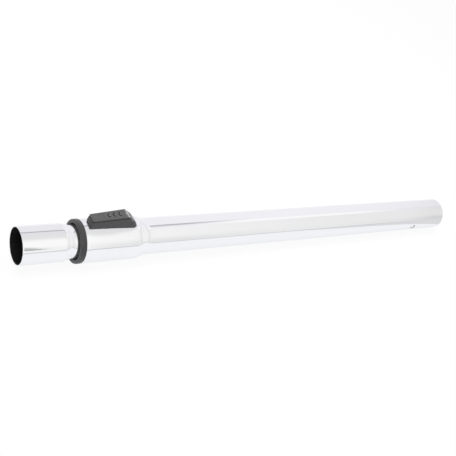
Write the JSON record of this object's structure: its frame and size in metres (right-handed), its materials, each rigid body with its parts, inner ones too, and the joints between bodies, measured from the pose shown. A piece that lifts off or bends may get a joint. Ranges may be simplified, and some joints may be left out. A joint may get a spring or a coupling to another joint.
{
  "type": "telescopic vacuum wand",
  "caption": "Chromed telescopic vacuum cleaner wand: sliding tubes with a handle socket, a dark collar and a slide button that frees the friction lock",
  "frame": {"origin": "centre of the handle socket's mouth, on the wand's axis", "axes": "+X runs along the wand to the nozzle end, +Z is the side of the slide button"},
  "size_m": [0.534, 0.041, 0.0512],
  "materials": {
    "chrome": "bright chrome plate",
    "dark_plastic": "fine moulded grain",
    "pale_plastic": "smooth moulded",
    "felt": "pressed felt",
    "pin_steel": "ground",
    "spring_steel": "drawn wire",
    "seal_rubber": "matte"
  },
  "bodies": {
    "upper_tube": {"inner_tube": "chrome", "end_bush": "pale_plastic", "end_seal": "seal_rubber"},
    "lower_tube": {"outer_tube": "chrome", "collar_ring": "dark_plastic", "wiper_ring": "felt", "guide_sleeve": "pale_plastic", "return_spring": "spring_steel"},
    "button": {"slide_button": "dark_plastic", "lock_wedge": "pale_plastic"},
    "pin": {"lock_pin": "pin_steel"}
  },
  "joints": [
    {"name": "tube_slide", "type": "slide", "parent": "upper_tube", "child": "lower_tube", "axis": [1, 0, 0], "range_m": [0, 0.34]},
    {"name": "button_slide", "type": "slide", "parent": "lower_tube", "child": "button", "axis": [-1, 0, 0], "range_m": [0, 0.005], "stiffness_N_per_m": 600, "springref_m": -0.002, "deforming": ["return_spring"]},
    {"name": "pin_lift", "type": "slide", "parent": "lower_tube", "child": "pin", "axis": [0, 0, 1], "range_m": [0, 0.0005]}
  ],
  "couplings": [
    {"joint": "pin_lift", "follows": "button_slide", "ratio": 0.1}
  ]
}
